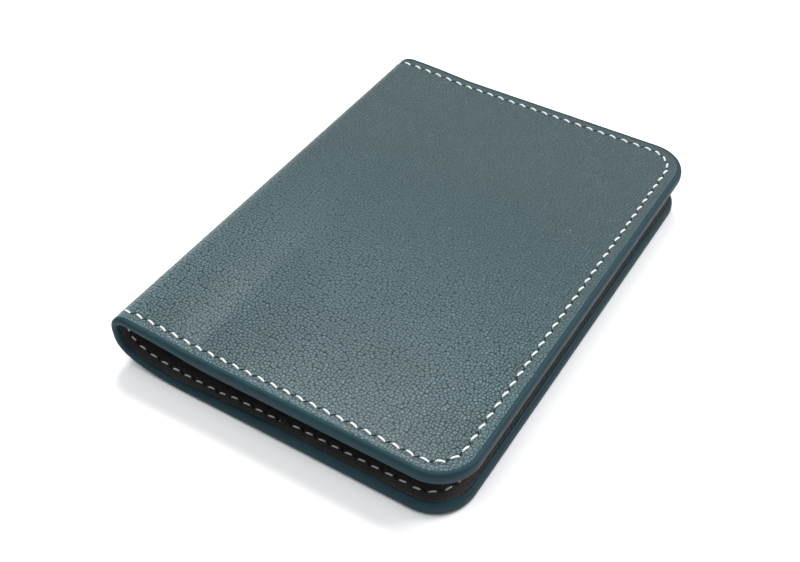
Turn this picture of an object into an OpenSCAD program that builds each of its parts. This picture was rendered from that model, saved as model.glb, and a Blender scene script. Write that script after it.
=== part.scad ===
// Card holder: a book-style bifold in stitched leather, lying closed on its back leaf.
// +X runs from the spine to the fore edge, +Y along the spine, +Z up.
// The origin is at the middle of the closed holder, on the surface that it lies on.
// The outer leather and the lining are each one sheet that bends round the spine. They are
// drawn as two leaves and three narrow strips, which turn on four fold lines.

/* [Leaves] */
// Width of the front leaf, from the spine's outer face to its fore edge
leaf_w = 79.2; // [64:0.1:96]
// Length of both leaves along the spine
leaf_h = 111; // [92:0.5:134]
// Outer radius of the two fore-edge corners of each leaf
corner_r = 9; // [5:0.5:14]
// How far the front leaf rides out past the back leaf when closed
fore_step = 0.7; // [0:0.1:3]
// Air left between the two leaves by the relaxed fold, at their thickest
leaf_gap = 6.6; // [5:0.1:9]

/* [Leather] */
// Thickness of the outer leather
cover_t = 1.1; // [0.8:0.05:1.4]
// Thickness of the lining leather
lining_t = 0.6; // [0.4:0.05:0.8]
// Thickness of each pocket panel
panel_t = 0.65; // [0.4:0.05:0.9]
// Thickness of the coat of edge paint
paint_t = 0.25; // [0.15:0.05:0.5]

/* [Pockets] */
// Mouth of the back leaf's card pocket, measured from the spine
card_mouth_back = 25.5; // [20:0.5:32]
// Mouth of the back leaf's ticket pocket, measured from the spine
ticket_mouth = 39; // [34:0.5:48]
// Mouth of the front leaf's slip pocket, measured from the spine
slip_mouth = 11.5; // [8:0.5:16]
// Mouth of the front leaf's card pocket, measured from the spine
card_mouth_front = 24; // [18:0.5:32]

/* [Seam] */
// Distance from one stitch to the next
stitch_pitch = 3; // [2.5:0.05:4]
// Length of thread that shows in one stitch
stitch_len = 2.1; // [1.6:0.1:2.4]
// Thickness of the waxed thread
thread_d = 0.45; // [0.35:0.05:0.7]
// Distance from the finished edge to the row of stitches
seam_margin = 3; // [2.2:0.1:4]
// Slant of each stitch to the row
stitch_slant = 14; // [0:1:30]
// How far the thread stands out of the leather
thread_proud = 0.1; // [0.05:0.01:0.2]

/* [Fold] */
// Distance from the spine at which the back leaf starts to lift
lift_x = 14; // [12:0.5:18]
// Distance from the spine at which the back of the fold turns steeply up
heel_x = 4.2; // [3.5:0.1:6]
// Distance from the spine at which the front leaf starts to turn down
crown_x = 4.2; // [3.5:0.1:6]
// Running clearance at each fold line
fold_clear = 0.3; // [0.15:0.05:0.4]

/* [Hidden] */

cover_colour = "#65787c";
inside_colour = "#242326";
thread_colour = "#e2e1da";
paint_colour = "#24393f";

fold_t = cover_t + lining_t;            // leather that bends: cover and lining only
fold_r = fold_t / 2;                    // round of each fold line, about its middle
socket_r = fold_r + fold_clear;         // hollow end of the piece that turns on it
leaf_t = fold_t + 2 * panel_t;          // leaf with both of its pocket panels
closed_h = 2 * leaf_t + leaf_gap;       // height of the closed holder
back_w = leaf_w - fore_step;            // width of the back leaf
paint_lift = 0.1;                       // the paint stops this far short of the outer face
round_fn = 48;
thread_fn = 24;

back_mouths = [card_mouth_back, ticket_mouth];
front_mouths = [slip_mouth, card_mouth_front];

// The relaxed fold: its fold lines lie on the middle of the leather, as [x, z] from the
// spine's outer face and the table. The lower side rises slowly and the crown is tight.
heel_share = 0.285;                     // height of the heel, as a share of closed_h
belly_share = 0.65;                     // height of the spine's outermost line
fold_lines = [
    [lift_x, fold_r],
    [heel_x, heel_share * closed_h],
    [fold_r, belly_share * closed_h],
    [crown_x, closed_h - fold_r]
];

// Length and tilt of strip i, which runs from fold line i to the next one. A tilt of 0
// points towards -X along the table, 90 straight up and 180 back towards the fore edge.
function strip_run(i) = fold_lines[i + 1] - fold_lines[i];
function strip_len(i) = norm(strip_run(i));
function strip_tilt(i) = atan2(strip_run(i)[1], -strip_run(i)[0]);

// How sharply the closed leather turns at fold line i. The back leaf lies before strip 0
// and the front leaf after strip 2.
function tilt_at(i) = i < 0 ? 0 : i > 2 ? 180 : strip_tilt(i);
function fold_turn(i) = tilt_at(i) - tilt_at(i - 1);

// ---- placing ----------------------------------------------------------------

// Puts the origin at the middle of the closed holder.
module placed() {
    translate([-leaf_w / 2, 0, 0]) children();
}

// Turns a leaf drawn outer face down into the front leaf, outer face up.
module front_side() {
    placed() translate([0, 0, closed_h]) mirror([0, 0, 1]) children();
}

// Sets a strip drawn from the origin towards -X, outer face down, on fold line i.
module strip_place(i) {
    placed() translate([fold_lines[i][0], 0, fold_lines[i][1]])
        rotate([0, strip_tilt(i), 0]) children();
}

// ---- the ends that turn on each other ---------------------------------------

// Rounded end at x, towards -X, of a layer from height z to z + t of leather whose
// middle is at height mid.
module round_end(x, mid, z, t, y_len) {
    intersection() {
        translate([x, y_len / 2, mid])
            rotate([90, 0, 0]) cylinder(r = fold_r, h = y_len, $fn = round_fn);
        translate([x - fold_r, -y_len / 2, z]) cube([fold_r, y_len, t]);
    }
}

// Hollow end at x of a piece that starts at fold line i: what it cuts away leaves room
// for the neighbour's rounded end, and for the inner face of the closed neighbour, which
// leaves the fold line towards side (1 for +X).
module socket(x, mid, i, side) {
    translate([x, leaf_h, mid])
        rotate([90, 0, 0]) cylinder(r = socket_r, h = 2 * leaf_h, $fn = round_fn);
    translate([x, -leaf_h, mid]) rotate([0, side > 0 ? -fold_turn(i) : fold_turn(i) - 180, 0])
        translate([0, 0, -socket_r]) cube([3 * socket_r, 2 * leaf_h, 2 * socket_r]);
}

// ---- leaf layers ------------------------------------------------------------

// Outline of a leaf from x0 to its fore edge, drawn in by inset on its three free sides.
module leaf_outline(w, x0, inset) {
    r = corner_r - inset;
    x1 = w - inset;
    y1 = leaf_h / 2 - inset;
    translate([x0, -y1]) square([x1 - r - x0, 2 * y1]);
    translate([x1 - r, -y1 + r]) square([r, 2 * (y1 - r)]);
    for (side = [-1, 1])
        translate([x1 - r, side * (y1 - r)]) circle(r = r, $fn = round_fn);
}

// One flat layer of leather, from height z to z + t.
module leaf_layer(w, x0, z, t) {
    translate([0, 0, z]) linear_extrude(t) leaf_outline(w, x0, paint_t);
}

// A layer of the back leaf, which ends in a round at the first fold line.
module back_layer(z, t) {
    leaf_layer(back_w, lift_x, z, t);
    round_end(lift_x, fold_r, z, t, leaf_h - 2 * paint_t);
}

// A layer of the front leaf, which ends in a hollow at the last fold line.
module front_layer(z, t) {
    difference() {
        leaf_layer(leaf_w, crown_x, z, t);
        socket(crown_x, fold_r, 3, -1);
    }
}

// Pocket panel number level (0 is the one next to the lining), open towards the spine.
module pocket_panel(w, mouth, level) {
    color(inside_colour) leaf_layer(w, mouth, fold_t + level * panel_t, panel_t);
}

// ---- edge paint -------------------------------------------------------------

// A band of paint round the free sides of a leaf, from x0 on and from height z to z + t.
module paint_band(w, x0, z, t) {
    translate([0, 0, z]) linear_extrude(t) difference() {
        leaf_outline(w, x0, 0);
        leaf_outline(w, x0 - 1, paint_t);
    }
}

// The bands that cover the cover and lining, and then each pocket panel from its mouth on.
module leaf_bands(w, x0, mouths) {
    paint_band(w, x0, paint_lift, fold_t - paint_lift);
    for (level = [0, 1])
        paint_band(w, mouths[level], fold_t + level * panel_t, panel_t);
}

// Puts its children at both ends of the spine, just inside leaf_h.
module both_ends() {
    for (side = [-1, 1])
        translate([0, side * (leaf_h - paint_t) / 2, 0]) children();
}

// ---- stitching --------------------------------------------------------------

// One stitch, seen from above: a straight run of thread with round ends.
module stitch_outline() {
    run = stitch_len - thread_d;
    square([run, thread_d], center = true);
    for (end = [-1, 1])
        translate([end * run / 2, 0]) circle(d = thread_d, $fn = thread_fn);
}

// Thickness of a leaf at x.
function stack_at(x, mouths) =
    fold_t + panel_t * len([for (m = mouths) if (x > m) m]);

// The seam runs from x0 along one end, round the fore edge and back along the other end.
// These give its sizes, and the point and heading at distance s along it.
seam_r = corner_r - seam_margin;
seam_arc = seam_r * PI / 2;
seam_fore = leaf_h - 2 * seam_margin - 2 * seam_r;
function seam_flat(w, x0) = w - seam_margin - seam_r - x0;
function seam_length(w, x0) = 2 * seam_flat(w, x0) + 2 * seam_arc + seam_fore;

// Half of the seam, from the spine to the middle of the fore edge, on the -Y side.
function seam_half(w, x0, s) =
    let (a = seam_flat(w, x0), b = a + seam_arc, turn = (s - a) / seam_r * 180 / PI,
         xc = w - seam_margin - seam_r, yc = -(leaf_h / 2 - seam_margin - seam_r))
    s < a ? [x0 + s, yc - seam_r, 0]
    : s < b ? [xc + seam_r * sin(turn), yc - seam_r * cos(turn), turn]
    : [xc + seam_r, yc + (s - b), 90];

function seam_point(w, x0, s) =
    let (total = seam_length(w, x0))
    s <= total / 2 ? seam_half(w, x0, s)
    : let (p = seam_half(w, x0, total - s)) [p[0], -p[1], 180 - p[2]];

// Every stitch of a leaf, through all of the layers that it holds together.
// proud is how far the thread stands out of the outer face.
module leaf_stitches(w, x0, mouths, proud) {
    total = seam_length(w, x0);
    count = round(total / stitch_pitch);
    color(thread_colour)
        for (i = [0 : count - 1]) {
            p = seam_point(w, x0, (i + 0.5) * total / count);
            translate([p[0], p[1], -proud]) rotate(p[2] - stitch_slant)
                linear_extrude(stack_at(p[0], mouths) + proud + thread_proud)
                    stitch_outline();
        }
}

// ---- spine strips -----------------------------------------------------------

// A layer of strip i, y_len long, from height z to z + t above the strip's middle.
module strip_layer(i, z, t, y_len) {
    difference() {
        union() {
            translate([-strip_len(i), -y_len / 2, z]) cube([strip_len(i), y_len, t]);
            round_end(-strip_len(i), 0, z, t, y_len);
        }
        socket(0, 0, i, 1);
    }
}

module strip_leather(i) {
    color(cover_colour) strip_place(i)
        strip_layer(i, -fold_r, cover_t, leaf_h - 2 * paint_t);
}

module strip_lining(i) {
    color(inside_colour) strip_place(i)
        strip_layer(i, -fold_r + cover_t, lining_t, leaf_h - 2 * paint_t);
}

module strip_paint(i) {
    color(paint_colour) strip_place(i) both_ends()
        strip_layer(i, -fold_r + paint_lift, fold_t - paint_lift, paint_t);
}

// The few stitches that cross strip i at its two ends.
module strip_stitches(i) {
    free = strip_len(i) - socket_r;
    count = max(1, floor(free / stitch_pitch));
    color(thread_colour) strip_place(i)
        for (side = [-1, 1], k = [0 : count - 1])
            translate([-socket_r - (k + 0.5) * free / count,
                       side * (leaf_h / 2 - seam_margin), -fold_r])
                rotate(-stitch_slant * side)
                    linear_extrude(fold_t + thread_proud) stitch_outline();
}

// ---- sub-parts --------------------------------------------------------------

module back_cover_leather() {
    color(cover_colour) placed() back_layer(0, cover_t);
}

module back_lining() {
    color(inside_colour) placed() back_layer(cover_t, lining_t);
}

module back_card_pocket() {
    placed() pocket_panel(back_w, back_mouths[0], 0);
}

module back_ticket_pocket() {
    placed() pocket_panel(back_w, back_mouths[1], 1);
}

module back_stitching() {
    placed() leaf_stitches(back_w, lift_x, back_mouths, 0);
}

module back_edge_paint() {
    color(paint_colour) placed() {
        leaf_bands(back_w, lift_x, back_mouths);
        both_ends() round_end(lift_x, fold_r, paint_lift, fold_t - paint_lift, paint_t);
    }
}

module front_cover_leather() {
    color(cover_colour) front_side() front_layer(0, cover_t);
}

module front_lining() {
    color(inside_colour) front_side() front_layer(cover_t, lining_t);
}

module front_slip_pocket() {
    front_side() pocket_panel(leaf_w, front_mouths[0], 0);
}

module front_card_pocket() {
    front_side() pocket_panel(leaf_w, front_mouths[1], 1);
}

module front_stitching() {
    front_side() leaf_stitches(leaf_w, crown_x + socket_r, front_mouths, thread_proud);
}

module front_edge_paint() {
    color(paint_colour) front_side() difference() {
        leaf_bands(leaf_w, crown_x, front_mouths);
        socket(crown_x, fold_r, 3, -1);
    }
}

back_cover_leather();
back_lining();
back_card_pocket();
back_ticket_pocket();
back_stitching();
back_edge_paint();
strip_leather(0);  // spine_heel_leather
strip_lining(0);  // spine_heel_lining
strip_stitches(0);  // spine_heel_stitching
strip_paint(0);  // spine_heel_edge_paint
strip_leather(1);  // spine_middle_leather
strip_lining(1);  // spine_middle_lining
strip_stitches(1);  // spine_middle_stitching
strip_paint(1);  // spine_middle_edge_paint
strip_leather(2);  // spine_crown_leather
strip_lining(2);  // spine_crown_lining
strip_stitches(2);  // spine_crown_stitching
strip_paint(2);  // spine_crown_edge_paint
front_cover_leather();
front_lining();
front_slip_pocket();
front_card_pocket();
front_stitching();
front_edge_paint();
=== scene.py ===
"""Looks of a stitched leather card holder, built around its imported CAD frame.

The outer leather, the lining and the edge paint are modelled flat, as a maker cuts them,
and are then bent round the relaxed fold of the spine. In the flat layout X runs from the
back leaf's fore edge over the spine to the front leaf's fore edge, Y along the spine and
Z out of the outer face, all in metres.
"""

import logging
import math
from dataclasses import dataclass, field
from enum import Enum
from typing import Callable, Sequence

import bpy
import numpy as np
from mathutils import Matrix, Vector


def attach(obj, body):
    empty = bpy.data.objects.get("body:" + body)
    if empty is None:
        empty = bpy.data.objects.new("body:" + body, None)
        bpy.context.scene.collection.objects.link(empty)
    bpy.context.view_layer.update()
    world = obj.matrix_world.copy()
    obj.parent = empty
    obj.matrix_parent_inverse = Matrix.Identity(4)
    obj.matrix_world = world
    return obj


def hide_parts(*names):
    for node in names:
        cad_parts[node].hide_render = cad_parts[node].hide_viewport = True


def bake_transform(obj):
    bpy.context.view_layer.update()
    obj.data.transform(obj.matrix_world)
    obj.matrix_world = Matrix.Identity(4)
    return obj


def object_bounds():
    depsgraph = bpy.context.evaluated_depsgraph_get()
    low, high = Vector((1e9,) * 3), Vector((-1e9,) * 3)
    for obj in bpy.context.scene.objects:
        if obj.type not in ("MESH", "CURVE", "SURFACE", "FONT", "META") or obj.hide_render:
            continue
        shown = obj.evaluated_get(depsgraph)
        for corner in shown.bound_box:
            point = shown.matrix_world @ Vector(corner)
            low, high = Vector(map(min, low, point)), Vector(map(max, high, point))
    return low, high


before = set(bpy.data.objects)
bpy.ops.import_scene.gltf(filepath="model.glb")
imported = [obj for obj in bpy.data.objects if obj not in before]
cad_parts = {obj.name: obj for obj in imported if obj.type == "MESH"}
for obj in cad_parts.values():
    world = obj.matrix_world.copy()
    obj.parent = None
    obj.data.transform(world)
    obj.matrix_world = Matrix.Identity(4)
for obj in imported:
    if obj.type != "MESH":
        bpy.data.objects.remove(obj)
CAD_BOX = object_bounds()

LOG = logging.getLogger("card_holder")
MM = 0.001
UV_SPAN = 100 * MM  # one turn of the flat layout's UV map
MM_SCALE = UV_SPAN / MM  # texture scale on that map that gives a cell of 1 mm


# ---- working tools -------------------------------------------------------------------


def deselect() -> None:
    """Leaves edit mode and selects nothing."""
    if bpy.context.object and bpy.context.object.mode != "OBJECT":
        bpy.ops.object.mode_set(mode="OBJECT")
    bpy.ops.object.select_all(action="DESELECT")


def pick(obj: bpy.types.Object) -> None:
    """Makes an object the only selected one, and the active one.

    Args:
        obj: the object.
    """
    deselect()
    obj.select_set(True)
    bpy.context.view_layer.objects.active = obj


def apply_place(obj: bpy.types.Object) -> None:
    """Moves an object's place, turn and scale into its mesh."""
    pick(obj)
    bpy.ops.object.transform_apply(location=True, rotation=True, scale=True)


def smooth_by_angle(obj: bpy.types.Object, degrees: float = 40.0) -> None:
    """Shades obj smooth, with its sharper edges kept crisp."""
    pick(obj)
    bpy.ops.object.shade_smooth_by_angle(angle=math.radians(degrees))


def step(x: float, start: float, end: float) -> float:
    """Smooth rise from 0 at start to 1 at end."""
    t = min(1.0, max(0.0, (x - start) / (end - start)))
    return t * t * (3 - 2 * t)


def copy_of(obj: bpy.types.Object, name: str) -> bpy.types.Object:
    """A copy of obj with its own mesh.

    Args:
        obj: the object to copy.
        name: the copy's name.

    Returns:
        The copy, linked to the scene.
    """
    twin = obj.copy()
    twin.data = obj.data.copy()
    twin.name = name
    bpy.context.scene.collection.objects.link(twin)
    return twin


# ---- the holder's sizes --------------------------------------------------------------


@dataclass(frozen=True)
class Sizes:
    """Sizes shared by every piece, in metres.

    The frame gives the place of the spine, the height of the leaves and the height of the
    closed holder over its stitches. The leaves reach half a millimetre past the frame's
    fore edges, where the margin outside the seam is wider.
    """

    spine_x: float = CAD_BOX[0][0]
    leaf_h: float = CAD_BOX[1][1] - CAD_BOX[0][1]
    stitch_rise: float = 0.1 * MM
    closed_h: float = CAD_BOX[1][2] - stitch_rise
    front_w: float = 79.65 * MM
    back_w: float = 79.0 * MM
    corner_r: float = 9 * MM
    cover_t: float = 1.1 * MM
    fold_t: float = 1.7 * MM
    panel_t: float = 0.65 * MM
    paint_w: float = 1.0 * MM
    border: float = 0.97 * MM
    seam_in: float = 3.0 * MM
    front_mouths: tuple[float, float] = (11.5 * MM, 24 * MM)
    back_mouths: tuple[float, float] = (25.5 * MM, 39 * MM)

    @property
    def outer(self) -> float:
        """Height of the outer face over the middle of the bending leather."""
        return self.fold_t / 2


SIZES = Sizes()


class FoldPath:
    """The line that the middle of the leather follows round the spine.

    Points are (distance from the spine's outer face, height over the table). The two
    leaves are straight, and three curves between them make the slack, bulging fold.
    """

    LEAD_IN = 20 * MM
    LEAD_OUT = 20 * MM
    CROWN_RISE = 0.75 * MM
    BELLY = 0.3 * MM
    STEPS = 60

    def __init__(self, sizes: Sizes) -> None:
        """Lays out the path.

        Args:
            sizes: the holder's sizes.
        """
        mid, top = sizes.fold_t / 2, sizes.closed_h - sizes.fold_t / 2
        crown, belly = top + self.CROWN_RISE, self.BELLY
        arcs = (
            ((self.LEAD_IN, mid), (17 * MM, mid), (belly, 0.3 * MM), (belly, 7.3 * MM)),
            ((belly, 7.3 * MM), (belly, 8.1 * MM), (-1 * MM, crown), (4 * MM, crown)),
            ((4 * MM, crown), (12 * MM, crown), (18.5 * MM, top), (self.LEAD_OUT, top)),
        )
        points = [(sizes.back_w, mid)]
        for arc in arcs:
            points += [self.on_arc(arc, i / self.STEPS) for i in range(self.STEPS)]
        points += [(self.LEAD_OUT, top), (sizes.front_w, top)]
        self.points = np.array(points)
        runs = np.linalg.norm(np.diff(self.points, axis=0), axis=1)
        self.along = np.concatenate([[0.0], np.cumsum(runs)])
        self.length = float(self.along[-1])
        self.spine_x = sizes.spine_x

    @staticmethod
    def on_arc(arc: Sequence[tuple[float, float]], t: float) -> tuple[float, float]:
        """The point at share t of a cubic curve with four control points."""
        weights = ((1 - t) ** 3, 3 * (1 - t) ** 2 * t, 3 * (1 - t) * t * t, t**3)
        return tuple(sum(w * p[i] for w, p in zip(weights, arc)) for i in (0, 1))

    def at(self, u: float) -> Vector:
        """The row-frame point at distance u along the path, at the middle of the spine."""
        x, z = (float(np.interp(u, self.along, self.points[:, i])) for i in (0, 1))
        return Vector((x + self.spine_x, 0, z))

    def curve(self) -> bpy.types.Object:
        """Makes the path as a flat curve that a Curve modifier can follow.

        Returns:
            The curve's object.
        """
        data = bpy.data.curves.new("fold_path", "CURVE")
        data.dimensions = "2D"
        spline = data.splines.new("POLY")
        spline.points.add(len(self.points) - 1)
        for point, (x, z) in zip(spline.points, self.points):
            point.co = (x + self.spine_x, z, 0, 1)
        guide = bpy.data.objects.new("fold_path", data)
        bpy.context.scene.collection.objects.link(guide)
        return guide

    def bend(self, obj: bpy.types.Object, guide: bpy.types.Object) -> None:
        """Bends a flat piece round the fold, into its place in the row frame.

        Args:
            obj: the flat piece.
            guide: the curve from curve().
        """
        obj.data.transform(Matrix.Rotation(-math.pi / 2, 4, "X"))
        pick(obj)
        follow = obj.modifiers.new("follow_fold", "CURVE")
        follow.object = guide
        follow.deform_axis = "POS_X"
        bpy.ops.object.modifier_apply(modifier=follow.name)
        obj.data.transform(Matrix.Rotation(math.pi / 2, 4, "X"))


@dataclass(frozen=True)
class Bend:
    """One stretch of the skin, which bends across one fold joint."""

    name: str
    body_a: str
    body_b: str
    cut_from: float
    cut_to: float
    start: float
    end: float


@dataclass
class Layout:
    """The flat layout: its outline, how thick it is, and where it divides."""

    sizes: Sizes
    path: FoldPath
    lift: float = 0.5 * MM
    heel: float = 7.7 * MM
    middle: float = 16.2 * MM
    crown: float = 23.4 * MM
    settle: float = 27.3 * MM
    shut: float = 0.3 * MM
    cut_step: float = 0.45 * MM
    cut_reach: tuple[float, float] = (-1.2 * MM, 47.8 * MM)
    beside: float = 0.05 * MM
    mouth_steps: tuple[float, ...] = (-0.5, 0, 0.6, 1.2, 1.7)
    straight: float = field(init=False)
    heel_cut: float = field(init=False)
    middle_cut: float = field(init=False)
    crown_cut: float = field(init=False)
    bends: list[Bend] = field(init=False)

    def __post_init__(self) -> None:
        """Names the four stretches from the back leaf to the front leaf.

        The sheet's divisions are given as distances past the back leaf's straight part.
        """
        far = self.path.length
        self.straight = self.sizes.back_w - FoldPath.LEAD_IN
        self.heel_cut = self.straight + self.heel
        self.middle_cut = self.straight + self.middle
        self.crown_cut = self.straight + self.crown
        bodies = ("back_leaf", "spine_heel", "spine_middle", "spine_crown", "front_leaf")
        cuts = (0.0, self.heel_cut, self.middle_cut, self.crown_cut, far)
        # the last turn's start lies past its cut, by the shut distance
        starts = (self.straight + self.lift, self.heel_cut, self.middle_cut, self.crown_cut + self.shut)
        ends = (self.heel_cut, self.middle_cut, self.crown_cut, self.straight + self.settle)
        names = ("back", "heel", "belly", "front")
        self.bends = [
            Bend(names[i], bodies[i], bodies[i + 1], cuts[i], cuts[i + 1], starts[i], ends[i])
            for i in range(4)
        ]

    def edge_distance(self, u: float, v: float) -> float:
        """Measures from a flat point to the finished edge.

        Args:
            u: the point's place along X.
            v: the point's place along Y.

        Returns:
            The distance, which grows inwards.
        """
        r = self.sizes.corner_r
        qx = abs(u - self.path.length / 2) - (self.path.length / 2 - r)
        qy = abs(v) - (self.sizes.leaf_h / 2 - r)
        outside = math.hypot(max(qx, 0), max(qy, 0))
        return r - outside - min(max(qx, qy), 0)

    def thickness(self, u: float, soft: tuple[float, float] = (0.4 * MM, 1.6 * MM)) -> float:
        """Thickness of all the layers at u.

        Args:
            u: the place in the flat layout.
            soft: how far the step of a pocket panel reaches before and past its mouth.

        Returns:
            The thickness in metres.
        """
        s = self.sizes
        back, front = s.back_w - u, u - (self.path.length - s.front_w)
        x, mouths = (back, s.back_mouths) if u < self.middle_cut else (front, s.front_mouths)
        return s.fold_t + s.panel_t * sum(step(x, m - soft[0], m + soft[1]) for m in mouths)

    def cuts(self) -> list[float]:
        """Finds where flat pieces are cut across so that they can bend.

        Returns:
            Places along X: close over the fold, closest at the divisions and the mouths.
        """
        s = self.sizes
        divisions = (self.heel_cut, self.middle_cut, self.crown_cut)
        near = [d + side * self.beside for d in divisions for side in (-1, 1)]
        first, last = (self.straight + reach for reach in self.cut_reach)
        fold = np.arange(first, last, self.cut_step).tolist()
        fold = [c for c in fold if min(abs(c - n) for n in near) > 0.12 * MM]
        back = [s.back_w - m - d * MM for m in s.back_mouths for d in self.mouth_steps]
        front_leaf = self.path.length - s.front_w
        front = [front_leaf + m + d * MM for m in s.front_mouths for d in self.mouth_steps]
        leaves = [place * MM for place in (10, 20, 30, 120, 130, 140, 150)]
        return sorted(fold + near + back + front + leaves)


# ---- flat modelling ------------------------------------------------------------------


class Flat:
    """Modelling steps for one flat piece of the layout."""

    def __init__(self, layout: Layout, name: str) -> None:
        """Starts a piece.

        Args:
            layout: the flat layout.
            name: the piece's name.
        """
        self.layout = layout
        self.name = name
        self.obj: bpy.types.Object | None = None

    def outline(self, u0: float, u1: float, inset: float, start: bool = True, end: bool = True) -> None:
        """Adds the plane that the piece is cut from, with rounded corners.

        Args:
            u0: the lower end along X.
            u1: the upper end along X.
            inset: how far the long sides lie inside the finished edge.
            start: whether the corners at u0 are rounded.
            end: whether the corners at u1 are rounded.
        """
        s = self.layout.sizes
        high = s.leaf_h - 2 * inset
        deselect()
        bpy.ops.mesh.primitive_plane_add(size=1, location=((u0 + u1) / 2, 0, 0), scale=(u1 - u0, high, 1))
        self.obj = bpy.context.object
        self.obj.name = self.obj.data.name = self.name
        # the operator's scale is lost on a plane, so it is set here and applied
        self.obj.scale = (u1 - u0, high, 1)
        apply_place(self.obj)
        middle = (u0 + u1) / 2
        self.select(lambda co: (start and co.x < middle) or (end and co.x > middle))
        bpy.ops.mesh.bevel(offset=s.corner_r - inset, offset_type="OFFSET", segments=14, affect="VERTICES")
        bpy.ops.object.mode_set(mode="OBJECT")

    def select(self, rule: Callable[[Vector], bool]) -> None:
        """Goes into edit mode with only some points selected.

        Args:
            rule: says of a point's place whether it is selected.
        """
        pick(self.obj)
        bpy.ops.object.mode_set(mode="EDIT")
        bpy.ops.mesh.select_mode(type="VERT")
        bpy.ops.mesh.select_all(action="DESELECT")
        bpy.ops.object.mode_set(mode="OBJECT")
        for vertex in self.obj.data.vertices:
            vertex.select = rule(vertex.co)
        bpy.ops.object.mode_set(mode="EDIT")

    def rings(self, widths: Sequence[float], keep_middle: bool = True) -> None:
        """Insets the face step by step, so that the edge can be rounded ring by ring.

        Args:
            widths: the width of each ring, from the outside in.
            keep_middle: False leaves only the rings, as a band.
        """
        pick(self.obj)
        bpy.ops.object.mode_set(mode="EDIT")
        bpy.ops.mesh.select_mode(type="FACE")
        bpy.ops.mesh.select_all(action="SELECT")
        for width in widths:
            bpy.ops.mesh.inset(thickness=width, depth=0, use_even_offset=True)
        if not keep_middle:
            bpy.ops.mesh.delete(type="FACE")
        bpy.ops.object.mode_set(mode="OBJECT")

    def cut_across(self, places: Sequence[float]) -> None:
        """Cuts the piece across wherever it reaches.

        Args:
            places: the cuts' places along X.
        """
        xs = [v.co.x for v in self.obj.data.vertices]
        low, high = min(xs), max(xs)
        pick(self.obj)
        bpy.ops.object.mode_set(mode="EDIT")
        for u in places:
            if low + 0.02 * MM < u < high - 0.02 * MM:
                bpy.ops.mesh.select_all(action="SELECT")
                bpy.ops.mesh.bisect(plane_co=(u, 0, 0), plane_no=(1, 0, 0), threshold=1e-6)
        bpy.ops.object.mode_set(mode="OBJECT")

    def thicken(self, face: Callable[[float, float], float], back: Callable[[float, float], float]) -> None:
        """Gives the piece its two faces and closes its edge.

        Args:
            face: height of the outer side at a flat point.
            back: height of the inner side at a flat point.
        """
        pick(self.obj)
        bpy.ops.object.mode_set(mode="EDIT")
        bpy.ops.mesh.select_all(action="SELECT")
        bpy.ops.mesh.extrude_region_move(TRANSFORM_OT_translate={"value": (0, 0, 1 * MM)})
        bpy.ops.object.mode_set(mode="OBJECT")
        for vertex in self.obj.data.vertices:
            rule = face if vertex.co.z > 0.5 * MM else back
            vertex.co.z = rule(vertex.co.x, vertex.co.y)
        bpy.ops.object.mode_set(mode="EDIT")
        bpy.ops.mesh.select_all(action="SELECT")
        bpy.ops.mesh.remove_doubles(threshold=0.001 * MM)
        bpy.ops.mesh.normals_make_consistent(inside=False)
        bpy.ops.object.mode_set(mode="OBJECT")

    def chart(self) -> None:
        """Writes the flat layout as the UV map, and each point's distance to the edge."""
        mesh = self.obj.data
        for layer in list(mesh.uv_layers):
            mesh.uv_layers.remove(layer)
        uv = mesh.uv_layers.new(name="flat")
        for loop in mesh.loops:
            co = mesh.vertices[loop.vertex_index].co
            uv.data[loop.index].uv = (co.x / UV_SPAN, co.y / UV_SPAN)
        edge = mesh.attributes.new("edge_mm", "FLOAT", "POINT")
        for i, vertex in enumerate(mesh.vertices):
            edge.data[i].value = self.layout.edge_distance(vertex.co.x, vertex.co.y) / MM


def divide(flat: bpy.types.Object, layout: Layout, stem: str) -> dict[str, bpy.types.Object]:
    """Divides a flat skin into the stretches that bend across one joint each.

    Args:
        flat: the whole flat skin, which is removed.
        layout: the flat layout.
        stem: the first part of the pieces' names.

    Returns:
        The closed pieces by the name of their stretch.
    """
    pieces = {}
    for bend in layout.bends:
        piece = copy_of(flat, f"{stem}_{bend.name}")
        pick(piece)
        bpy.ops.object.mode_set(mode="EDIT")
        for place, clear in ((bend.cut_from, "clear_inner"), (bend.cut_to, "clear_outer")):
            if 0 < place < layout.path.length:
                bpy.ops.mesh.select_all(action="SELECT")
                bpy.ops.mesh.bisect(
                    plane_co=(place, 0, 0), plane_no=(1, 0, 0), use_fill=True, threshold=1e-6, **{clear: True}
                )
        bpy.ops.object.mode_set(mode="OBJECT")
        pieces[bend.name] = piece
    bpy.data.objects.remove(flat)
    return pieces


# ---- materials -----------------------------------------------------------------------


def linear(hex_colour: str) -> tuple[float, float, float, float]:
    """Turns an sRGB hex colour into the linear one that shaders use."""
    parts = [int(hex_colour.lstrip("#")[i : i + 2], 16) / 255 for i in (0, 2, 4)]
    return (*(c / 12.92 if c <= 0.04045 else ((c + 0.055) / 1.055) ** 2.4 for c in parts), 1.0)


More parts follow.
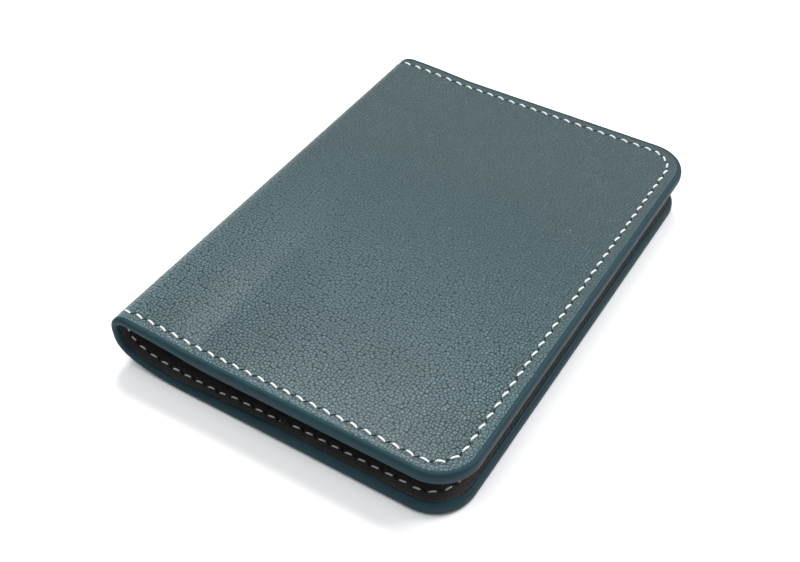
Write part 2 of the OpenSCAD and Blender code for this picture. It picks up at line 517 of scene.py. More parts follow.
class Finish:
    """A material under construction, with one way to add a node."""

    def __init__(self, name: str) -> None:
        """Starts an empty material with its shader and output.

        Args:
            name: the material's name.
        """
        self.material = bpy.data.materials.new(name)
        self.material.use_nodes = True
        self.tree = self.material.node_tree
        self.tree.nodes.clear()
        self.shader = self.node("BsdfPrincipled")
        self.node("OutputMaterial", self.shader)

    def feed(self, socket: bpy.types.NodeSocket, value: object) -> None:
        """Gives an input its value.

        Args:
            socket: the input.
            value: a socket to link, a node whose first output is linked, or a plain value.
        """
        if isinstance(value, bpy.types.Node):
            value = value.outputs[0]
        if isinstance(value, bpy.types.NodeSocket):
            self.tree.links.new(value, socket)
        else:
            socket.default_value = value

    def node(
        self,
        kind: str,
        *inputs: object,
        at: dict[int | str, object] | None = None,
        stops: Sequence[tuple[float, str]] = (),
        **settings: object,
    ) -> bpy.types.Node:
        """Adds a node.

        Args:
            kind: the node's type, without its leading "ShaderNode".
            inputs: what the first inputs take, in order.
            at: what other inputs take, by number or name.
            stops: the places and hex colours of a colour ramp.
            settings: the node's own properties.

        Returns:
            The new node.
        """
        made = self.tree.nodes.new(f"ShaderNode{kind}")
        for key, value in settings.items():
            setattr(made, key, value)
        for key, value in [*enumerate(inputs), *(at or {}).items()]:
            self.feed(made.inputs[key], value)
        for i, (place, colour) in enumerate(stops):
            elements = made.color_ramp.elements
            element = elements[i] if i < len(elements) else elements.new(1.0)
            element.position, element.color = place, linear(colour)
        return made

    def set(self, **values: object) -> None:
        """Feeds the shader's inputs; underscores stand for spaces."""
        for key, value in values.items():
            self.feed(self.shader.inputs[key.replace("_", " ")], value)


@dataclass(frozen=True)
class PebbledLeather:
    """Drum-dyed calf leather with a shrunken pebble grain and a satin top coat.

    The grooves between the pebbles are painted dark as painted shade, and the pebble
    tops are painted lighter as a painted highlight, besides the highlights that the bump
    catches. The grain is pressed flat where the hide bends round the spine and along the
    seam's margin, and it lies tighter towards the far end, where the painted groove shade
    is paler and the flat leather is painted darker as painted shade. The relief is drawn
    deeper than real, so that the grain shows at the size of the whole holder.
    """

    name: str = "pebbled_calf_leather"
    pebble_mm: float = 0.7
    dimple_mm: float = 0.38
    pores_per_mm: float = 2.6
    waves_per_mm: float = 0.45
    wander_mm: float = 1.1
    relief_mm: float = 1.0
    dome_share: float = 0.54
    groove_share: float = 0.324
    dimple_share: float = 0.144
    pore_share: float = 0.03
    # crown is a painted highlight on the pebble tops and groove a painted shade in the grooves; face is the
    # leather's own colour
    crown: str = "#657e83"
    face: str = "#556d72"
    groove: str = "#142528"
    # a paler painted shade in the grooves, for the far end
    far_groove_shade: str = "#42585c"
    pressed: str = "#40565b"
    # the flat leather darkened by painted shade, for the far end
    far_pressed_shade: str = "#26373a"

    def grain(self, f: Finish, uv: bpy.types.Node) -> bpy.types.Node:
        """Adds the pebbles, the grooves between them and the dimples on them.

        Args:
            f: the material.
            uv: the flat layout's UV map.

        Returns:
            The grain's height, from 0 in a groove to 1 on a pebble.
        """
        wave = f.node("TexNoise", uv, at={"Scale": MM_SCALE * self.waves_per_mm, "Detail": 2.0})
        bent = f.node("VectorMath", wave.outputs["Color"], (0.5, 0.5, 0.5), operation="SUBTRACT")
        pushed = f.node("VectorMath", bent, at={"Scale": self.wander_mm / MM_SCALE}, operation="SCALE")
        where = f.node("VectorMath", uv, pushed, operation="ADD")
        pebbles = {"Scale": MM_SCALE / self.pebble_mm, "Randomness": 0.85}
        dimples = {"Scale": MM_SCALE / self.dimple_mm, "Randomness": 1.0}
        to_edge = {"feature": "DISTANCE_TO_EDGE", "voronoi_dimensions": "2D"}
        cells = f.node("TexVoronoi", where, at=pebbles, **to_edge)
        small = f.node("TexVoronoi", where, at=dimples, **to_edge)
        rounded = {**pebbles, "Smoothness": 0.2}
        middle = f.node("TexVoronoi", where, at=rounded, feature="SMOOTH_F1", voronoi_dimensions="2D")
        fall = f.node("Math", middle, 1.6, operation="POWER")
        dome = f.node("Math", 1.0, fall, operation="SUBTRACT", use_clamp=True)
        groove = f.node("MapRange", cells, 0.0, 0.2, 0.0, 1.0, interpolation_type="SMOOTHSTEP")
        dimple = f.node("MapRange", small, 0.0, 0.3, 0.0, 1.0, interpolation_type="SMOOTHSTEP")
        height: object = 0.0
        shares = (self.dome_share, self.groove_share, self.dimple_share)
        for part, share in zip((dome, groove, dimple), shares):
            height = f.node("Math", part, share, height, operation="MULTIPLY_ADD")
        return height

    def relief(self, f: Finish, uv: bpy.types.Node, layout: Layout) -> bpy.types.Node:
        """Adds the share of the grain that is left at each place.

        Args:
            f: the material.
            uv: the flat layout's UV map.
            layout: the flat layout.

        Returns:
            The share: less at the spine, at the rim and towards the far end.
        """
        place = f.node("SeparateXYZ", uv)
        past_spine = f.node("Math", place.outputs["X"], layout.middle_cut / UV_SPAN, operation="SUBTRACT")
        off_spine = f.node("Math", past_spine, operation="ABSOLUTE")
        edge = f.node("Attribute", attribute_name="edge_mm").outputs["Fac"]
        patches = f.node("TexNoise", uv, at={"Scale": 5.0, "Detail": 2.0})
        masks = (
            (off_spine, 0.08, 0.18, 0.25, 1.0),
            (edge, 1.6, 4.2, 0.35, 1.0),
            (place.outputs["Y"], -0.55, 0.4, 1.4, 0.3),
            (patches, 0.3, 0.7, 0.8, 1.1),
        )
        share: object = 1.0
        for mask in masks:
            left = f.node("MapRange", *mask, interpolation_type="SMOOTHSTEP")
            share = f.node("Math", share, left, operation="MULTIPLY")
        return share

    def tone(
        self, f: Finish, uv: bpy.types.Node, grain: bpy.types.Node, relief: bpy.types.Node
    ) -> bpy.types.NodeSocket:
        """Adds the colour, which follows the grain where there is any.

        Args:
            f: the material.
            uv: the flat layout's UV map.
            grain: the grain's height.
            relief: the share of the grain that is left.

        Returns:
            The colour's socket.
        """
        across = f.node("SeparateXYZ", uv).outputs["Y"]
        # painted shade: the flat leather darkens towards the far end, and the painted groove shade and pebble
        # highlight fade there
        near = f.node("MapRange", across, -0.55, 0.2, 1.0, 0.0, interpolation_type="SMOOTHSTEP")
        strong_shade_share = f.node("MapRange", across, -0.45, 0.15, 1.0, 0.0, interpolation_type="SMOOTHSTEP")
        pressed = f.node("ValToRGB", near, stops=((0.0, self.far_pressed_shade), (1.0, self.pressed)))
        faint_shaded_grain = f.node("ValToRGB", grain, stops=((0.3, self.far_groove_shade), (0.9, self.face)))
        # painted shade in the grooves and painted highlight on the pebble tops, by the grain's height
        strong_shaded_grain = f.node("ValToRGB", grain, stops=((0.3, self.groove), (0.62, self.face), (0.9, self.crown)))
        grained = f.node("Mix", at={0: strong_shade_share, 6: faint_shaded_grain, 7: strong_shaded_grain}, data_type="RGBA").outputs[2]
        return f.node("Mix", at={0: relief, 6: pressed, 7: grained}, data_type="RGBA").outputs[2]

    def build(self, layout: Layout) -> bpy.types.Material:
        """Builds the material.

        Args:
            layout: the flat layout, which says where the spine is.

        Returns:
            The material.
        """
        f = Finish(self.name)
        uv = f.node("UVMap", uv_map="flat")
        grain, relief = self.grain(f, uv), self.relief(f, uv, layout)
        pores = f.node("TexNoise", uv, at={"Scale": MM_SCALE * self.pores_per_mm, "Detail": 3.0})
        pebbled = f.node("Math", grain, relief, operation="MULTIPLY")
        height = f.node("Math", pores, self.pore_share, pebbled, operation="MULTIPLY_ADD")
        bump = f.node("Bump", at={"Height": height, "Strength": 1.0, "Distance": self.relief_mm * MM})
        rough = f.node("MapRange", grain, 0.3, 0.9, 0.65, 0.3, interpolation_type="SMOOTHSTEP")
        f.set(Base_Color=self.tone(f, uv, grain, relief), Roughness=rough, Normal=bump)
        f.set(IOR=1.5, Specular_IOR_Level=0.36, Coat_Weight=0.1, Coat_Roughness=0.25)
        return f.material


@dataclass(frozen=True)
class SmoothLeather:
    """Thin black calf lining, plated smooth, with a faint fine grain and a soft sheen."""

    name: str = "black_calf_lining"
    grain_mm: float = 0.55
    relief_mm: float = 0.1
    face: str = "#2b2829"
    worn: str = "#3a3635"

    def build(self) -> bpy.types.Material:
        """Builds the material.

        Returns:
            The material.
        """
        f = Finish(self.name)
        uv = f.node("UVMap", uv_map="flat")
        grain = {"Scale": MM_SCALE / self.grain_mm, "Randomness": 1.0}
        cells = f.node("TexVoronoi", uv, at=grain, feature="DISTANCE_TO_EDGE", voronoi_dimensions="2D")
        fine = f.node("MapRange", cells, 0.0, 0.3, 0.0, 1.0, interpolation_type="SMOOTHSTEP")
        cloud = f.node("TexNoise", uv, at={"Scale": 9.0, "Detail": 4.0})
        tone = f.node("ValToRGB", cloud, stops=((0.3, self.face), (0.8, self.worn)))
        rough = f.node("MapRange", cloud, 0.3, 0.7, 0.48, 0.6, interpolation_type="SMOOTHSTEP")
        bump = f.node("Bump", at={"Height": fine, "Strength": 0.8, "Distance": self.relief_mm * MM})
        f.set(Base_Color=tone, Roughness=rough, Normal=bump, IOR=1.5, Specular_IOR_Level=0.4)
        return f.material


@dataclass(frozen=True)
class EdgePaint:
    """Acrylic edge paint in dark teal, built up in coats and rubbed to a satin bead."""

    name: str = "satin_edge_paint"
    relief_mm: float = 0.03
    face: str = "#132d34"
    rubbed: str = "#1b3840"

    def build(self) -> bpy.types.Material:
        """Builds the material.

        Returns:
            The material.
        """
        f = Finish(self.name)
        uv = f.node("UVMap", uv_map="flat")
        streaks = f.node("TexNoise", uv, at={"Scale": 26.0, "Detail": 4.0})
        fine = f.node("TexNoise", uv, at={"Scale": 240.0, "Detail": 3.0})
        tone = f.node("ValToRGB", streaks, stops=((0.3, self.face), (0.75, self.rubbed)))
        rough = f.node("MapRange", streaks, 0.3, 0.7, 0.5, 0.62, interpolation_type="SMOOTHSTEP")
        bump = f.node("Bump", at={"Height": fine, "Strength": 0.5, "Distance": self.relief_mm * MM})
        f.set(Base_Color=tone, Roughness=rough, Normal=bump, IOR=1.49, Specular_IOR_Level=0.16)
        return f.material


@dataclass(frozen=True)
class WaxedThread:
    """Off-white polyester thread, twisted from three plies and drawn through wax."""

    name: str = "waxed_thread"
    plies: float = 3.0
    twists: float = 7.0
    relief_mm: float = 0.05
    face: str = "#e6e8e4"
    # groove is painted shade between the thread's plies
    groove: str = "#a9aeac"

    def build(self) -> bpy.types.Material:
        """Builds the material; its UV map runs round and along each stitch.

        Returns:
            The material.
        """
        f = Finish(self.name)
        place = f.node("SeparateXYZ", f.node("UVMap", uv_map="flat"))
        along = f.node("Math", place.outputs["Y"], self.twists, operation="MULTIPLY")
        turn = f.node("Math", place.outputs["X"], self.plies, along, operation="MULTIPLY_ADD")
        wave = f.node("Math", f.node("Math", turn, 2 * math.pi, operation="MULTIPLY"), operation="SINE")
        ply = f.node("MapRange", wave, -1.0, 0.6, 0.0, 1.0, interpolation_type="SMOOTHSTEP")
        # painted shade where the plies meet
        tone = f.node("ValToRGB", ply, stops=((0.0, self.groove), (0.6, self.face)))
        bump = f.node("Bump", at={"Height": ply, "Strength": 0.6, "Distance": self.relief_mm * MM})
        f.set(Base_Color=tone, Roughness=0.5, Normal=bump, Sheen_Weight=0.15, IOR=1.5)
        return f.material


@dataclass(frozen=True)
class PrickedHoleShade:
    """A dark, flat lens laid on the leather at a pricking iron's slit: painted shade standing for the shaded
    hole, with a faintly lighter speckle.
    """

    name: str = "pricked_slit_shade"
    relief_mm: float = 0.04
    # painted shade of the hole, with a lighter speckle
    face: str = "#0c1214"
    rim: str = "#172124"

    def build(self) -> bpy.types.Material:
        """Builds the material.

        Returns:
            The material.
        """
        f = Finish(self.name)
        place = f.node("TexCoord").outputs["Object"]
        noise = f.node("TexNoise", place, at={"Scale": 2500.0, "Detail": 2.0})
        tone = f.node("ValToRGB", noise, stops=((0.3, self.face), (0.7, self.rim)))
        bump = f.node("Bump", at={"Height": noise, "Strength": 0.4, "Distance": self.relief_mm * MM})
        f.set(Base_Color=tone, Roughness=0.8, Normal=bump, Specular_IOR_Level=0.2)
        return f.material


class Skin(Enum):
    """Which finish a piece takes."""

    COVER = PebbledLeather()
    LINING = SmoothLeather()
    PAINT = EdgePaint()
    THREAD = WaxedThread()
    HOLE = PrickedHoleShade()


@dataclass
class Workshop:
    """What every sub-assembly needs: the layout, the bending guide and the finishes."""

    layout: Layout
    guide: bpy.types.Object
    finishes: dict[Skin, bpy.types.Material]

    def dress(self, obj: bpy.types.Object, skin: Skin) -> None:
        """Gives a piece its finish.

        Args:
            obj: the piece.
            skin: the finish.
        """
        obj.data.materials.clear()
        obj.data.materials.append(self.finishes[skin])

    def fit_blend(self, obj: bpy.types.Object, bend: Bend) -> None:
        """Bakes a bent piece's place into its mesh; the joint's start and end are looked up on the path but
        not used.
        """
        path = self.layout.path
        path.at(bend.start)
        path.at(bend.end)
        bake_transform(obj)

    def finish_skin(
        self, flat: bpy.types.Object, stem: str, skin: Skin, stands_for: dict[str, tuple[str, ...]]
    ) -> None:
        """Divides, bends and dresses one whole skin, and hides the CAD nodes that it stands for.

        Args:
            flat: the flat skin.
            stem: the first part of the pieces' names.
            skin: its finish.
            stands_for: the CAD nodes that each stretch replaces.
        """
        for name, piece in divide(flat, self.layout, stem).items():
            bend = next(b for b in self.layout.bends if b.name == name)
            self.layout.path.bend(piece, self.guide)
            smooth_by_angle(piece)
            self.dress(piece, skin)
            self.fit_blend(piece, bend)
            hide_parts(*stands_for[name])
            LOG.info("%s: %d faces", piece.name, len(piece.data.polygons))


def stretch_nodes(layer: str) -> dict[str, tuple[str, ...]]:
    """Finds the CAD nodes of one layer.

    Args:
        layer: the layer's name in its nodes' names.

    Returns:
        The nodes by the name of the stretch that shows them.
    """
    back = "back_cover_leather" if layer == "leather" else f"back_{layer}"
    front = "front_cover_leather" if layer == "leather" else f"front_{layer}"
    return {
        "back": (back, f"spine_heel_{layer}"),
        "heel": (f"spine_heel_{layer}", f"spine_middle_{layer}"),
        "belly": (f"spine_middle_{layer}", f"spine_crown_{layer}"),
        "front": (f"spine_crown_{layer}", front),
    }


# ---- sub-assemblies ------------------------------------------------------------------


@dataclass
class Cover:
    """The outer leather: one sheet with a rolled border and a seam sunk into it."""

    shop: Workshop
    rim_roll: float = 0.07 * MM
    rim_soft: float = 0.05 * MM
    seam_dip: float = 0.09 * MM
    dip_reach_mm: float = 0.85
    ring_places: tuple[float, ...] = (1.03, 1.2, 2.2, 2.6, 3.0, 3.4, 3.8, 5.0, 7.0)

    def face(self, u: float, v: float) -> float:
        """Shapes the outer face.

        Args:
            u: a flat point's place along X.
            v: its place along Y.

        Returns:
            Its height: rolled down at the border, dipped at the seam.
        """
        d = self.shop.layout.edge_distance(u, v) / MM
        roll = self.rim_roll * (1 - step(d, 0.96, 1.25))
        soft = self.rim_soft * (1 - step(d, 1.0, 2.4))
        off_seam = abs(d - self.shop.layout.sizes.seam_in / MM)
        dip = self.seam_dip * max(0.0, 1 - off_seam / self.dip_reach_mm)
        return self.shop.layout.sizes.outer - roll - soft - dip

    def build(self) -> None:
        """Models the cover, divides it at the joints and bends it round the fold."""
        layout = self.shop.layout
        border = layout.sizes.border
        flat = Flat(layout, "cover_leather")
        flat.outline(border, layout.path.length - border, border)
        edges = (border / MM, *self.ring_places)
        flat.rings([(b - a) * MM for a, b in zip(edges, edges[1:])])
        flat.cut_across(layout.cuts())
        inner = layout.sizes.outer - layout.sizes.cover_t
        flat.thicken(self.face, lambda u, v: inner)
        flat.chart()
        self.shop.finish_skin(flat.obj, "cover_leather", Skin.COVER, stretch_nodes("leather"))


@dataclass
class Lining:
    """The black lining: one thin sheet inside the cover."""

    shop: Workshop
    ring_widths: tuple[float, ...] = (0.25 * MM, 1.4 * MM, 1.0 * MM)

    def build(self) -> None:
        """Models the lining, divides it at the joints and bends it round the fold."""
        layout = self.shop.layout
        border = layout.sizes.border
        flat = Flat(layout, "lining")
        flat.outline(border, layout.path.length - border, border)
        flat.rings(self.ring_widths)
        flat.cut_across(layout.cuts())
        top = layout.sizes.outer - layout.sizes.cover_t
        bottom = layout.sizes.outer - layout.sizes.fold_t
        flat.thicken(lambda u, v: top, lambda u, v: bottom)
        flat.chart()
        self.shop.finish_skin(flat.obj, "lining", Skin.LINING, stretch_nodes("lining"))


@dataclass
class PaintedEdge:
    """The bead of paint round every layer's cut edge, thicker where the pockets are."""

    shop: Workshop
    tuck: float = 0.25 * MM
    steps: int = 9
    sink: float = 0.015 * MM
    square: float = 2.5
    soft: tuple[float, float] = (9.5 * MM, 1.5 * MM)

    def ring_widths(self) -> list[float]:
        """Spaces the rings so that the bead curves evenly.

        Returns:
            The rings' widths from the rim, with the tuck under the leather last.
        """
        width = self.shop.layout.sizes.paint_w
        reach = [width * (1 - math.cos(math.pi / 2 * i / self.steps)) for i in range(self.steps + 1)]
        return [b - a for a, b in zip(reach, reach[1:])] + [self.tuck]

    def swell(self, u: float, v: float) -> float:
        """Shapes the bead's round section.

        Args:
            u: a flat point's place along X.
            v: its place along Y.

        Returns:
            The share of the half thickness reached there, from 0 at the rim to 1.
        """
        d = self.shop.layout.edge_distance(u, v)
        width = self.shop.layout.sizes.paint_w
        if d >= width:
            return 1 - 0.05 * step(d, width, width + self.tuck)
        return max(0.0, 1 - (1 - max(d, 0.0) / width) ** self.square) ** (1 / self.square)

    def build(self) -> None:
        """Models the bead, divides it at the joints and bends it round the fold."""
        layout = self.shop.layout
        outer = layout.sizes.outer - self.sink
        flat = Flat(layout, "edge_paint")
        flat.outline(0, layout.path.length, 0)
        flat.rings(self.ring_widths(), keep_middle=False)
        flat.cut_across(layout.cuts())

        def height(u: float, v: float, side: int) -> float:
            """Height of the bead's upper (1) or lower (-1) half."""
            t = layout.thickness(u, self.soft)
            return outer - t / 2 + side * self.swell(u, v) * t / 2

        flat.thicken(lambda u, v: height(u, v, 1), lambda u, v: height(u, v, -1))
        flat.chart()
        self.shop.finish_skin(flat.obj, "edge_paint", Skin.PAINT, stretch_nodes("edge_paint"))


@dataclass(frozen=True)
class Panel:
    """One pocket panel: its CAD node, its leaf, its mouth and how many lie below it."""

    node: str
    leaf: str
    mouth: float
    level: int


@dataclass
class Pockets:
    """The four pocket panels, each with a turned mouth edge and a creased line."""

    shop: Workshop
    lip: float = 0.3 * MM
    crease_at: float = 1.7 * MM
    crease_depth: float = 0.12 * MM
    crease_reach: float = 0.3 * MM
    clear: float = 0.005 * MM
    near_mouth: tuple[float, ...] = (0.03, 0.08, 0.16, 0.3, 1.4, 1.55, 1.7, 1.85, 2.0)

    def panels(self) -> list[Panel]:
        """The panels of both leaves."""
        s = self.shop.layout.sizes
        return [
            Panel("back_card_pocket", "back_leaf", s.back_mouths[0], 0),
            Panel("back_ticket_pocket", "back_leaf", s.back_mouths[1], 1),
            Panel("front_slip_pocket", "front_leaf", s.front_mouths[0], 0),
            Panel("front_card_pocket", "front_leaf", s.front_mouths[1], 1),
        ]

    def build(self) -> None:
        """Models each panel and sets it on its leaf."""
        for panel in self.panels():
            self.build_panel(panel)

    def build_panel(self, panel: Panel) -> None:
        """Models one panel, flat on the layer under it.

        Args:
            panel: the panel.
        """
        layout = self.shop.layout
        s, far = layout.sizes, layout.path.length
        back = panel.leaf == "back_leaf"
        mouth = s.back_w - panel.mouth if back else far - s.front_w + panel.mouth
        ends = (s.border, mouth) if back else (mouth, far - s.border)
        top = s.outer - s.fold_t - panel.level * s.panel_t
        low = top - s.panel_t

        def inner(u: float, v: float) -> float:
            """Height of the panel's showing side, rounded at its mouth and creased."""
            d = abs(u - mouth)
            round_off = self.lip * (1 - math.sqrt(max(0.0, 1 - (1 - min(d, self.lip) / self.lip) ** 2)))
            line = self.crease_depth * max(0.0, 1 - abs(d - self.crease_at) / self.crease_reach)
            return low + round_off + line

        flat = Flat(layout, f"{panel.node}_panel")
        flat.outline(*ends, s.border, start=back, end=not back)
        side = -1 if back else 1
        places = [c for c in layout.cuts() if abs(c - mouth) > 2.1 * MM]
        flat.cut_across(sorted(places + [mouth + side * d * MM for d in self.near_mouth]))
        flat.thicken(lambda u, v: top - self.clear, inner)
        flat.chart()
        layout.path.bend(flat.obj, self.shop.guide)
        smooth_by_angle(flat.obj, 50)
        self.shop.dress(flat.obj, Skin.LINING)
        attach(flat.obj, panel.leaf)
        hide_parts(panel.node)
        LOG.info("%s: %d faces", flat.obj.name, len(flat.obj.data.polygons))


@dataclass(frozen=True)
class Stitch:
    """Where one stitch lies in the flat layout: its middle and its heading."""

    u: float
    v: float
    heading: float


@dataclass
class Seam:
    """The saddle-stitched seam round the whole layout, with dark lenses of painted shade at its pricked
    holes.
    """

    shop: Workshop
    pitch: float = 3.0 * MM
    fore_margin: float = 3.45 * MM
    corner_r: float = 6.2 * MM
    sink: float = 0.09 * MM
    thread_r: float = 0.235 * MM
    length: float = 2.3 * MM
    arch: float = 0.13 * MM
    draw_down: float = 0.46 * MM
    slant: float = 14.0
    inner_slant: float = 6.0
    slit_slant: float = -42.0
    slit_reach: float = 0.72 * MM
    slit_w: float = 0.23 * MM
    slit_h: float = 0.06 * MM
    slit_rise: float = 0.02 * MM
    inner_sink: float = 0.05 * MM
    inner_r: float = 0.18 * MM
    inner_length: float = 2.15 * MM
    fore_count: int = 32
    near_reach: float = 1.2 * MM
    far_reach: float = -0.6 * MM
    near_fill: int = 2
    far_fill: int = 3

    def runs(self) -> tuple[float, float]:
        """Measures the seam's straight runs.

        Returns:
            Their lengths, along X and along Y.
        """
        layout = self.shop.layout
        long = layout.path.length - 2 * (self.fore_margin + self.corner_r)
        return long, layout.sizes.leaf_h - 2 * (layout.sizes.seam_in + self.corner_r)

    def spot(self, s: float) -> Stitch:
        """Finds a place on the seam.

        Args:
            s: distance round the seam's loop, from the near corner of the back leaf.

        Returns:
            The stitch that lies there.
        """
        layout = self.shop.layout
        r = self.corner_r
        long, short = self.runs()
        arc = r * math.pi / 2
        sides = (long, short, long, short)
        centre_u, centre_v = layout.path.length / 2, 0.0
        corner_u, corner_v = long / 2, short / 2
        for i, side in enumerate(sides):
            turn = i * math.pi / 2
            half, out = (corner_u, corner_v + r) if i % 2 == 0 else (corner_v, corner_u + r)
            along, across, heading = None, None, turn
            if s <= side:
                along, across = s - half, -out
            elif s <= side + arc:
                a = (s - side) / r
                along, across = half + r * math.sin(a), -out + r - r * math.cos(a)
                heading = turn + a
            if along is not None:
                c, k = math.cos(turn), math.sin(turn)
                return Stitch(centre_u + along * c - across * k, centre_v + along * k + across * c, heading)
            s -= side + arc
        raise ValueError("the place lies past the end of the seam")

    def places(self) -> list[float]:
        """Spaces the stitches: even rows on the sides, and a few to fill each corner.

        Returns:
            Each stitch's distance round the loop.
        """
        long, short = self.runs()
        arc = self.corner_r * math.pi / 2
        fore_start = (short - (self.fore_count - 1) * self.pitch) / 2
        fore = [fore_start + i * self.pitch for i in range(self.fore_count)]
        near_end = long + self.near_reach
        count = int((long + 2 * self.near_reach) / self.pitch) + 1
        near = [near_end - i * self.pitch for i in reversed(range(count))]
        far_start = -self.far_reach
        far_count = int((long + self.near_reach - far_start) / self.pitch) + 1
        far = [far_start + i * self.pitch for i in range(far_count)]
        starts = (0.0, long + arc, long + arc + short + arc, 2 * (long + arc) + short + arc)
        rows = [
            [starts[0] + s for s in near],
            [starts[1] + s for s in fore],
            [starts[2] + s for s in far],
            [starts[3] + s for s in fore],
        ]
        loop = starts[3] + short + arc
        found: list[float] = []
        fills = (self.near_fill, self.far_fill, self.near_fill, self.near_fill)
        for i, row in enumerate(rows):
            found += row
            following = rows[(i + 1) % 4][0] + (loop if i == 3 else 0)
            gap = (following - row[-1]) / (fills[i] + 1)
            found += [row[-1] + gap * (k + 1) for k in range(fills[i])]
        return [s % loop for s in found]

    def inner_face(self, u: float) -> float:
        """Height of the innermost layer's showing side at u."""
        return self.shop.layout.sizes.outer - self.shop.layout.thickness(u)

    def thread(self, radius: float, length: float) -> bpy.types.Object:
        """Models one stitch, along X.

        Args:
            radius: the thread's radius.
            length: the stitch's length.

        Returns:
            The stitch, arched over the leather with both ends drawn down.
        """
        deselect()
        bpy.ops.mesh.primitive_cylinder_add(
            vertices=10, radius=radius, depth=length, end_fill_type="TRIFAN", rotation=(0, math.pi / 2, 0)
        )
        obj = bpy.context.object
        apply_place(obj)
        bpy.ops.object.mode_set(mode="EDIT")
        for i in range(1, 8):
            bpy.ops.mesh.select_all(action="SELECT")
            bpy.ops.mesh.bisect(plane_co=(length * (i / 8 - 0.5), 0, 0), plane_no=(1, 0, 0), threshold=1e-7)
        bpy.ops.object.mode_set(mode="OBJECT")
        mesh = obj.data
        uv = mesh.uv_layers.active or mesh.uv_layers.new()
        uv.name = "flat"
        for loop in mesh.loops:
            co = mesh.vertices[loop.vertex_index].co
            uv.data[loop.index].uv = (math.atan2(co.y, co.z) / (2 * math.pi), co.x / length)
        for vertex in mesh.vertices:
            t = abs(2 * vertex.co.x / length)
            shrink = 1 - 0.5 * t**3
            vertex.co.y *= shrink
            vertex.co.z = vertex.co.z * 0.9 * shrink + self.arch - self.draw_down * t**2.6
        smooth_by_angle(obj, 60)
        return obj

    def slit_shade(self) -> bpy.types.Object:
        """Models one dark lens of painted shade for a pricked slit.

        Returns:
            The lens: flat and pointed, it lies on the leather as painted shade.
        """
        deselect()
        bpy.ops.mesh.primitive_uv_sphere_add(segments=12, ring_count=6, radius=1)
        obj = bpy.context.object
        obj.scale = (self.slit_reach, self.slit_w, self.slit_h)
        apply_place(obj)
        for vertex in obj.data.vertices:
            vertex.co.y *= 1 - 0.4 * abs(vertex.co.x) / self.slit_reach
        smooth_by_angle(obj, 60)
        return obj

    def lay(
        self, spots: Sequence[tuple[bpy.types.Object, Stitch, float, float, int]], name: str
    ) -> bpy.types.Object:
        """Copies patterns to many spots and joins the copies into one flat piece.

        Args:
            spots: for each copy its pattern, stitch, height, slant in degrees and side
                (-1 inside).
            name: the joined piece's name.

        Returns:
            The joined piece.
        """
        copies = []
        for pattern, stitch, height, slant, side in spots:
            twin = copy_of(pattern, name)
            turn = Matrix.Rotation(stitch.heading - math.radians(slant), 4, "Z")
            flip = Matrix.Scale(-1, 4, (0, 0, 1)) if side < 0 else Matrix.Identity(4)
            twin.data.transform(Matrix.Translation((stitch.u, stitch.v, height)) @ turn @ flip)
            if side < 0:
                twin.data.flip_normals()
            copies.append(twin)
        deselect()
        for twin in copies:
            twin.select_set(True)
        bpy.context.view_layer.objects.active = copies[0]
        bpy.ops.object.join()
        joined = bpy.context.object
        joined.name = joined.data.name = name
        return joined

    def build(self) -> None:
        """Models the seam's thread and the painted shade of its slits, stretch by stretch."""
        layout = self.shop.layout
        outer = layout.sizes.outer - self.sink
        thread, slit_shade = self.thread(self.thread_r, self.length), self.slit_shade()
        inner_thread = self.thread(self.inner_r, self.inner_length)
        places = sorted(self.places())
        stitches = [self.spot(s) for s in places]
        gaps = [self.spot((a + b) / 2) for a, b in zip(places, places[1:])]
        for bend in layout.bends:
            mine = [s for s in stitches if bend.cut_from <= s.u < bend.cut_to]
            holes = [s for s in gaps if bend.cut_from <= s.u < bend.cut_to]
            threads = [(thread, s, outer, self.slant, 1) for s in mine]
            for s in mine:
                inside = self.inner_face(s.u) + self.inner_sink
                threads.append((inner_thread, s, inside, self.inner_slant, -1))
            # dark lenses of painted shade stand for the pricked holes, on both faces
            slit_shades = [(slit_shade, s, outer + self.slit_rise, self.slit_slant, 1) for s in holes]
            slit_shades += [(slit_shade, s, self.inner_face(s.u), self.slit_slant, -1) for s in holes]
            for spots, stem, skin in ((threads, "stitches", Skin.THREAD), (slit_shades, "stitch_slit_shades", Skin.HOLE)):
                piece = self.lay(spots, f"{stem}_{bend.name}")
                layout.path.bend(piece, self.shop.guide)
                for vertex in piece.data.vertices:  # the table presses the lower stitches flat
                    vertex.co.z = max(vertex.co.z, 0.0)
                self.shop.dress(piece, skin)
                self.shop.fit_blend(piece, bend)
                if skin is Skin.THREAD:
                    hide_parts(*stretch_nodes("stitching")[bend.name])
                LOG.info("%s: %d stitches or slits", piece.name, len(spots))
        for pattern in (thread, inner_thread, slit_shade):
            bpy.data.objects.remove(pattern)


# ---- studio --------------------------------------------------------------------------


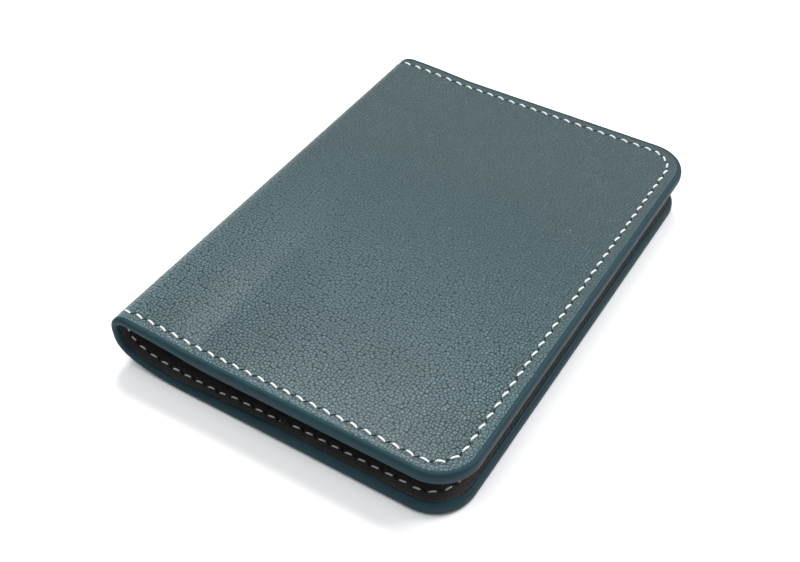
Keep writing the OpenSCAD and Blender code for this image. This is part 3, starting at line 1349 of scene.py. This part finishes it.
@dataclass
class Studio:
    """The pale floor, the soft lights and the camera."""

    azimuth: float = math.radians(31.77)
    elevation: float = math.radians(43.93)
    eye: tuple[float, float, float] = (92.167 * MM, -158.509 * MM, 174.018 * MM)
    lens: float = 50.89
    sensor: float = 36.0
    floor_drop: float = 0.2 * MM
    surround: float = 0.45

    def floor(self) -> None:
        """A wide plain floor with a faint paper tooth."""
        deselect()
        bpy.ops.mesh.primitive_plane_add(size=6, location=(0, 0, -self.floor_drop))
        obj = bpy.context.object
        obj.name = "studio_floor"
        f = Finish("white_studio_paper")
        place = f.node("TexCoord").outputs["Object"]
        tooth = f.node("TexNoise", place, at={"Scale": 900.0, "Detail": 2.0})
        bump = f.node("Bump", at={"Height": tooth, "Strength": 0.1, "Distance": 0.1 * MM})
        f.set(Base_Color=linear("#f6f7f8"), Roughness=0.8, Normal=bump, Specular_IOR_Level=0.1)
        obj.data.materials.append(f.material)

    def light(self, name: str, place: tuple[float, float, float], size: float, watts: float) -> None:
        """Adds a square soft light, aimed at the holder.

        Args:
            name: the light's name.
            place: where it stands, in metres.
            size: the length of its side, in metres.
            watts: its power.
        """
        data = bpy.data.lights.new(name, "AREA")
        data.shape, data.size, data.energy = "SQUARE", size, watts
        obj = bpy.data.objects.new(name, data)
        obj.location = place
        obj.rotation_euler = (-Vector(place)).to_track_quat("-Z", "Y").to_euler()
        bpy.context.scene.collection.objects.link(obj)

    def build(self) -> None:
        """Sets the floor, the lights, the surround and the camera."""
        self.floor()
        self.light("window_light", (1.15, 1.6, 2.0), 1.3, 62.0)
        self.light("top_light", (-0.05, -0.16, 0.62), 0.45, 2.4)
        self.light("glint_light", (-0.37, 0.46, 0.95), 0.26, 6.5)
        world = bpy.data.worlds.new("pale_surround")
        world.use_nodes = True
        background = world.node_tree.nodes["Background"]
        background.inputs["Color"].default_value = linear("#f4f7f9")
        background.inputs["Strength"].default_value = self.surround
        bpy.context.scene.world = world
        bpy.context.scene.view_settings.view_transform = "Standard"
        data = bpy.data.cameras.new("camera")
        data.lens, data.sensor_width = self.lens, self.sensor
        data.clip_start, data.clip_end = 0.01, 20
        camera = bpy.data.objects.new("camera", data)
        camera.location = self.eye
        camera.rotation_euler = (math.pi / 2 - self.elevation, 0, self.azimuth)
        bpy.context.scene.collection.objects.link(camera)
        bpy.context.scene.camera = camera


def main() -> None:
    """Builds the holder's looks, from the leather outwards."""
    logging.basicConfig(level=logging.INFO, format="%(name)s: %(message)s")
    path = FoldPath(SIZES)
    layout = Layout(SIZES, path)
    guide = path.curve()
    finishes = {skin: skin.value.build() for skin in Skin if skin is not Skin.COVER}
    finishes[Skin.COVER] = Skin.COVER.value.build(layout)
    shop = Workshop(layout, guide, finishes)
    LOG.info("the flat layout is %.2f mm long", path.length / MM)
    Cover(shop).build()
    Lining(shop).build()
    Pockets(shop).build()
    PaintedEdge(shop).build()
    Seam(shop).build()
    bpy.data.objects.remove(guide)
    Studio().build()


if __name__ == "__main__":
    main()
